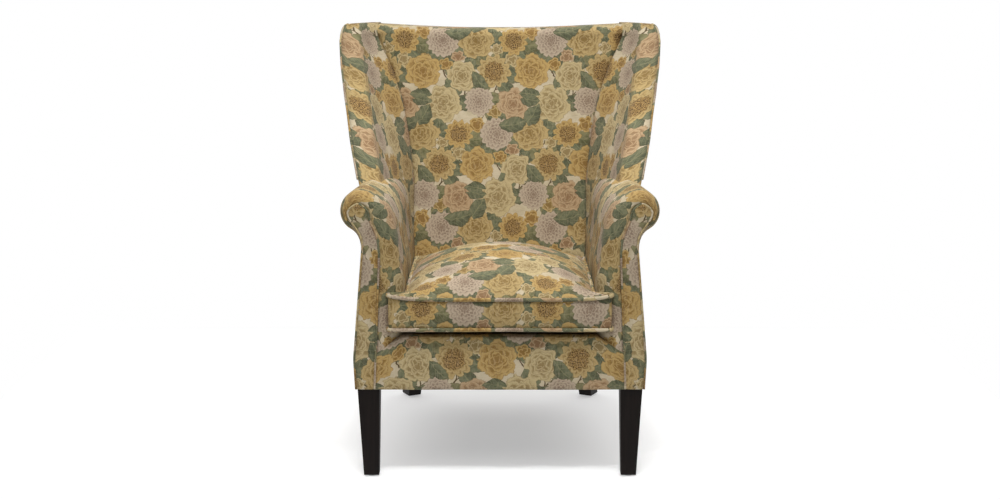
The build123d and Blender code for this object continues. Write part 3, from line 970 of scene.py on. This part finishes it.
def build_inside_back():
    """Up the inside back, round over the top edge and down to the outside back."""
    rows = []
    columns = even(44)
    steps = 55
    for j in range(steps + 1):
        z = between(0.335, BACK_ROUND_Z, j / steps)
        half = crease_x(z) + 0.006
        row = []
        for u in columns:
            tuck = 0.007 * smooth((abs(u) - 0.93) / 0.07)
            crown = 0.010 * (1 - u * u) * math.sin(math.pi * min(max((z - 0.40) / 0.62, 0), 1))
            row.append((u * half, inside_back_y(z) + tuck - crown, z))
        rows.append(row)
    radius = BACK_TOP_Z - BACK_ROUND_Z
    base = inside_back_y(BACK_ROUND_Z)
    rear = outside_back_y(BACK_TOP_Z) - 0.008
    profile = []
    for k in range(1, 10):
        angle = math.pi / 2 * k / 9
        profile.append((base + radius * (1 - math.cos(angle)), BACK_ROUND_Z + radius * math.sin(angle)))
    for k in range(1, 9):
        profile.append((between(base + radius, rear, k / 8), BACK_TOP_Z))
    for k in range(1, 7):
        angle = math.pi / 2 * k / 6
        profile.append((rear + 0.009 * math.sin(angle), BACK_TOP_Z - 0.010 * (1 - math.cos(angle))))
    for k, (y, z) in enumerate(profile):
        half = crease_x(z if k < 9 else BACK_TOP_Z) + 0.012
        rows.append([(half * u, y, z) for u in columns])
    rows = [[(x, y, z + top_sweep(x, z)) for x, y, z in row] for row in rows]
    rows = crumple(rows, 0.16, 0.0022, 3)
    uvs = arc_uvs(rows, u0=0.075, v0=0.02, anchor=len(columns) // 2)
    piece = grid_piece("inside_back_upholstery", rows, uvs, CLOTH_MATERIAL)
    finish_piece(piece, ["inside_back_cover", "inside_back_pad"])


def build_outside_back():
    rows = []
    steps = 40
    columns = even(32)
    for j in range(steps + 1):
        z = between(BASE_Z, 1.039, j / steps)
        half = back_half(z) - 0.0015
        row = []
        for u in columns:
            bow = 0.003 * (1 - u * u) * math.sin(math.pi * j / steps)
            row.append((-u * half, outside_back_y(z) + 0.002 + bow, z + top_sweep(u * half, z)))
        rows.append(row)
    rows = crumple(rows, 0.2, 0.0010, 4)
    uvs = arc_uvs(rows, anchor=len(columns) // 2)
    piece = grid_piece("outside_back_upholstery", rows, uvs, CLOTH_MATERIAL)
    finish_piece(piece, ["outside_back_panel"])
    side = [row[-1] for row in rows]
    across = rows[-1][-2:1:-1]
    other = [row[0] for row in reversed(rows)]
    piece = tube("outside_back_piping", eased(side + across + other, 1), CORD * 0.8, CLOTH_MATERIAL)
    finish_piece(piece, [])


# ---- seat base ----
BORDER_ROUND = 0.006     # the border's top edge is rounded over this height


def border_top(x):
    """The border's height, level under the cushion and falling to the facings."""
    return look_up([(0.0, 0.3495), (0.232, 0.3495), (0.296, 0.308), (0.31, 0.300)], abs(x))


def build_border():
    """The front border, from its bottom edge up and round over the seat's front edge."""
    rows = []
    columns = 72
    xs = [between(-0.298, 0.298, i / columns) for i in range(columns + 1)]
    for j in range(19):
        v = j / 18
        row = []
        for x in xs:
            z = between(BASE_Z, border_top(x) - BORDER_ROUND, v)
            puff = 0.004 * math.sin(math.pi * min(v * 1.1, 1)) * smooth((0.3 - abs(x)) / 0.02)
            row.append((x, 0.001 - puff, z))
        rows.append(row)
    for k in range(1, 9):
        angle = math.pi / 2 * k / 8
        y = 0.001 + 0.014 * (1 - math.cos(angle))
        rows.append([(x, y, border_top(x) - BORDER_ROUND + BORDER_ROUND * math.sin(angle)) for x in xs])
    rows.append([(x, 0.040, z) for x, _, z in rows[-1]])
    rows = crumple(rows, 0.12, 0.0016, 5)
    heights = arc_uvs(rows, v0=0.30, anchor=columns // 2)
    uvs = [[(p[0] + 0.02, uv[1]) for p, uv in zip(*pair)] for pair in zip(rows, heights)]
    piece = grid_piece("front_border_upholstery", rows, uvs, CLOTH_MATERIAL)
    finish_piece(piece, ["front_border_cover", "front_edge_roll"])


def flat_sheet(name, halves, ys, height, material, sag, nodes):
    """A sheet with its half widths at the front and back, which sags in its middle."""
    rows = []
    for v in even(24):
        y = between(*ys, (v + 1) / 2)
        half = between(*halves, (v + 1) / 2)
        rows.append([(u * half, y, height - sag * (1 - u * u) * (1 - v ** 2)) for u in even(24)])
    rows = crumple(rows, 0.15, 0.001, 6)
    piece = grid_piece(name, rows, arc_uvs(rows), material)
    finish_piece(piece, nodes)


def build_base_sheets():
    nodes = ["deck_cover", "seat_deck_pad"]
    flat_sheet("deck_lining", (0.231, 0.231), (0.040, 0.600), 0.3510, LINING, 0.004, nodes)
    underside = BASE_Z + 0.0015
    flat_sheet("underside_cloth", (0.280, 0.262), (0.010, 0.640), underside, CAMBRIC, 0.003, ["dust_cover"])


# ---- loose cushion ----
CUSHION_LOW = 0.366
CUSHION_SEAM = 0.438
CUSHION_FRONT = -0.016
CUSHION_BACK = 0.540
CUSHION_FLOOR = 0.3535   # the cushion stays above the lining of the deck
SETTLE_FRAMES = 14
SETTLE_LIMIT = 0.007     # the farthest that the cloth run may move a point


def cushion_half(y):
    """Half the width of the cushion, wider across the two front ears."""
    return between(0.2665, 0.2265, smooth((y - 0.006) / 0.010))


def soft_corner(u, v):
    """Pulls the outline in at the cushion's corners."""
    return (abs(u) ** 14) * (abs(v) ** 14)


def cushion_point(u, v, w):
    """A point of the cushion's surface from a cube's: across, front to back, and up."""
    y = between(CUSHION_FRONT, CUSHION_BACK, (v + 1) / 2)
    half = cushion_half(y)
    corner = soft_corner(u, v)
    x = u * (half - 0.003 * corner)
    y -= 0.004 * corner * (1 if v > 0 else -1)
    side = max(abs(u), abs(v))
    dome = (1 - abs(u) ** 2.1) ** 0.9 * (1 - abs(v) ** 2.8) ** 0.75 if side < 1 else 0.0
    low = CUSHION_LOW - 0.0115 * (1 - abs(u) ** 6) * (1 - abs(v) ** 6)
    high = CUSHION_SEAM + 0.070 * dome + 0.010 * abs(u) ** 5 * smooth((-0.75 - v) / 0.2)
    z = between(low, high, (w + 1) / 2)
    belly = 1 - w * w
    if v <= -0.999:
        y -= 0.006 * belly * (1 - abs(u) ** 8)
    if v >= 0.999:
        y += 0.003 * belly
    if abs(u) >= 0.999:
        x += 0.0015 * belly * (1 if u > 0 else -1)
    return (x, y, z)


def spread(count, ease):
    """Values from -1 to 1, closer together near both ends."""
    return [between(t, math.sin(t * math.pi / 2), ease) for t in even(count)]


ACROSS = spread(52, 0.5)
DEEP = spread(56, 0.6)
UP = spread(8, 0.0)


def cushion_faces():
    """Six grids of the cushion, as rows of (u, v, w)."""
    top = [[(u, v, 1) for u in ACROSS] for v in DEEP]
    bottom = [[(u, v, -1) for u in reversed(ACROSS)] for v in DEEP]
    front = [[(u, -1, w) for u in ACROSS] for w in UP]
    back = [[(u, 1, w) for u in reversed(ACROSS)] for w in UP]
    right = [[(1, v, w) for v in DEEP] for w in UP]
    left = [[(-1, v, w) for v in reversed(DEEP)] for w in UP]
    return [top, bottom, front, back, right, left]


def rounded(point):
    """The same key for a point of two faces that meet there."""
    return tuple(round(k, 4) for k in point)


def cushion_cover():
    """The cover in one piece, and each point's place in its mesh."""
    verts = []
    index = {}
    faces = []
    corners = []
    for face in cushion_faces():
        rows = [[cushion_point(*p) for p in row] for row in face]
        uvs = arc_uvs(rows, v0=0.15, anchor=len(rows[0]) // 2)
        for quad in quads(rows):
            ids = []
            for r, c in quad:
                key = rounded(face[r][c])
                if key not in index:
                    index[key] = len(verts)
                    verts.append(place(rows[r][c]))
                ids.append(index[key])
            faces.append(ids)
            corners.append([uvs[r][c] for r, c in quad])
    return smooth_mesh("seat_cushion_cover", verts, faces, corners, CLOTH_MATERIAL), index


def cushion_ring(level):
    """The way round the cushion's edge, at its top (1) or bottom (-1)."""
    ring = [(u, -1, level) for u in ACROSS]
    ring += [(1, v, level) for v in DEEP[1:]]
    ring += [(u, 1, level) for u in reversed(ACROSS[:-1])]
    ring += [(-1, v, level) for v in reversed(DEEP[1:-1])]
    return ring


def build_cushion():
    piece, index = cushion_cover()
    inflate(piece)

    def spots(points):
        found = [piece.data.vertices[index[rounded(p)]].co for p in points]
        return [co - Vector((0, BORDER_Y, 0)) for co in found]

    finish_piece(piece, ["cushion_cover", "cushion_core"], body="seat_cushion")
    for name, level in (("top", 1), ("bottom", -1)):
        path = outward(spots(cushion_ring(level)), 0.0022)
        cord = tube(f"cushion_piping_{name}_cord", path, 0.0046, CLOTH_MATERIAL, closed=True)
        finish_piece(cord, [f"cushion_piping_{name}"], body="seat_cushion")
    build_zip(spots([(u, 1, 0.0) for u in ACROSS]))


def outward(path, distance):
    """A closed path moved out from its middle, square to its own direction."""
    middle = sum(path, Vector()) / len(path)
    out = []
    for i, p in enumerate(path):
        along = path[(i + 1) % len(path)] - path[i - 1]
        side = Vector((along.y, -along.x, 0)).normalized()
        if side.dot(p - middle) < 0:
            side = -side
        out.append(p + side * distance)
    return out


def inflate(piece):
    """Lets the cushion's cloth settle under the pressure of its filling."""
    rest = [v.co.copy() for v in piece.data.vertices]
    cloth = piece.modifiers.new("cloth", "CLOTH")
    settings = cloth.settings
    settings.quality = 6
    settings.mass = 0.3
    settings.tension_stiffness = 25
    settings.compression_stiffness = 12
    settings.shear_stiffness = 8
    settings.bending_stiffness = 2.5
    settings.use_pressure = True
    settings.uniform_pressure_force = 3.0
    settings.effector_weights.gravity = 0
    cloth.collision_settings.use_self_collision = False
    cloth.point_cache.frame_start = 1
    cloth.point_cache.frame_end = SETTLE_FRAMES
    for step in range(1, SETTLE_FRAMES + 1):
        bpy.context.scene.frame_set(step)
    settled = piece.evaluated_get(bpy.context.evaluated_depsgraph_get()).to_mesh()
    moved = [v.co.copy() for v in settled.vertices]
    piece.modifiers.remove(cloth)
    bpy.context.scene.frame_set(1)
    for vertex, start, end in zip(piece.data.vertices, rest, moved):
        shift = end - start
        if shift.length > SETTLE_LIMIT:
            shift *= SETTLE_LIMIT / shift.length
        shift.x *= 0.45
        shift.y *= 0.45
        vertex.co = start + shift
        vertex.co.z = max(vertex.co.z, CUSHION_FLOOR)


def build_zip(edge):
    """The zip's tape and teeth in the back boxing."""
    flat = [p for p in edge if abs(p.x) < 0.185]
    rises = (-0.008, -0.003, 0.003, 0.008)
    rows = [[(p.x, p.y + 0.0012, p.z + rise) for p in reversed(flat)] for rise in rises]
    piece = grid_piece("cushion_zip_tape", rows, arc_uvs(rows), LINING, thickness=0.0012)
    finish_piece(piece, ["cushion_zip"], body="seat_cushion")
    depths = sorted((p.x, p.y) for p in flat)
    heights = sorted((p.x, p.z) for p in flat)
    count = 110
    path = []
    for k in range(count):
        x = between(-0.178, 0.178, k / (count - 1))
        path.append((x, look_up(depths, x) + 0.0022, look_up(heights, x) + 0.0012 * (1 if k % 2 else -1)))
    chain = tube("cushion_zip_teeth", path, 0.0011, PLASTIC, sides=6)
    finish_piece(chain, [], body="seat_cushion")


# ---- materials of the CAD parts that stay ----
def dress_cad_parts():
    by_slot = {
        "dark_wood": LEG_WOOD,
        "beech": BEECH,
        "steel": STEEL,
        "hessian": HESSIAN,
        "clip_plastic": PLASTIC,
        "foam": FOAM,
        "board": BOARD,
        "lining": LINING,
    }
    slots = {part["node"]: part["material_slot"] for part in frame["record"]["subparts"]}
    for name, thing in frame["nodes"].items():
        material = by_slot.get(slots[name])
        if material:
            thing.data.materials.clear()
            thing.data.materials.append(material)


# ---- studio ----
FILL_LIGHT = 0.25        # light from all round; the backdrop itself is seen as white


def build_camera():
    camera = bpy.data.cameras.new("camera")
    camera.lens = 57.6
    camera.sensor_width = 36.0
    camera.clip_end = 60.0
    camera.dof.use_dof = False
    holder = bpy.data.objects.new("camera", camera)
    holder.location = (0.0, BORDER_Y - 3.708, 1.217)
    holder.rotation_euler = (math.radians(90 - 10.1), 0, 0)
    bpy.context.collection.objects.link(holder)
    bpy.context.scene.camera = holder


def add_light(name, location, target, size, power, spread=math.pi):
    light = bpy.data.lights.new(name, "AREA")
    light.shape = "RECTANGLE"
    light.size, light.size_y = size
    light.energy = power
    light.spread = spread
    holder = bpy.data.objects.new(name, light)
    holder.location = location
    aim = Vector(target) - Vector(location)
    holder.rotation_euler = aim.to_track_quat("-Z", "Y").to_euler()
    bpy.context.collection.objects.link(holder)


def build_floor():
    rear = BORDER_Y + 1.58
    front = BORDER_Y - 1.9
    corners = [(-1.42, front, 0), (1.42, front, 0), (1.42, rear, 0), (-1.42, rear, 0)]
    mesh = bpy.data.meshes.new("floor")
    mesh.from_pydata(corners, [], [(0, 1, 2, 3)])
    floor = bpy.data.objects.new("floor", mesh)
    bpy.context.collection.objects.link(floor)
    material, g, shader = new_material("pale_floor")
    where = g.node("ShaderNodeTexCoord").outputs["Object"]
    speck = g.noise(where, 60.0, 3.0)
    colour = g.mix(speck, (0.68, 0.68, 0.68), (0.71, 0.71, 0.71))
    g.fill(shader, {"Base Color": colour, "Roughness": 0.75, "Specular IOR Level": 0.15})
    g.fill(shader, {"Emission Color": (1, 1, 1, 1), "Emission Strength": 0.40})
    mesh.materials.append(material)


def build_backdrop():
    world = bpy.data.worlds.new("studio")
    world.use_nodes = True
    sky = Graph(world.node_tree)
    shade = world.node_tree.nodes["Background"]
    seen = sky.node("ShaderNodeLightPath").outputs["Is Camera Ray"]
    level = sky.plus(sky.times(seen, 1.0 - FILL_LIGHT), FILL_LIGHT)
    sky.fill(shade, {"Color": (1, 1, 1, 1), "Strength": level})
    scene = bpy.context.scene
    scene.world = world
    scene.view_settings.view_transform = "Standard"
    scene.view_settings.look = "None"


def build_lights():
    middle = BORDER_Y + 0.3
    add_light("top_softbox", (0, middle, 4.5), (0, middle, 0), (10, 10), 330)
    key = (0, BORDER_Y - 1.0, 3.6)
    cushion = (0, BORDER_Y + 0.40, 0.65)
    add_light("front_softbox", key, cushion, (1.2, 0.9), 7.5, math.radians(40))


build_camera()
build_arms()
build_facings()
build_wings()
build_inside_back()
build_outside_back()
build_border()
build_base_sheets()
build_cushion()
dress_cad_parts()
build_floor()
build_backdrop()
build_lights()
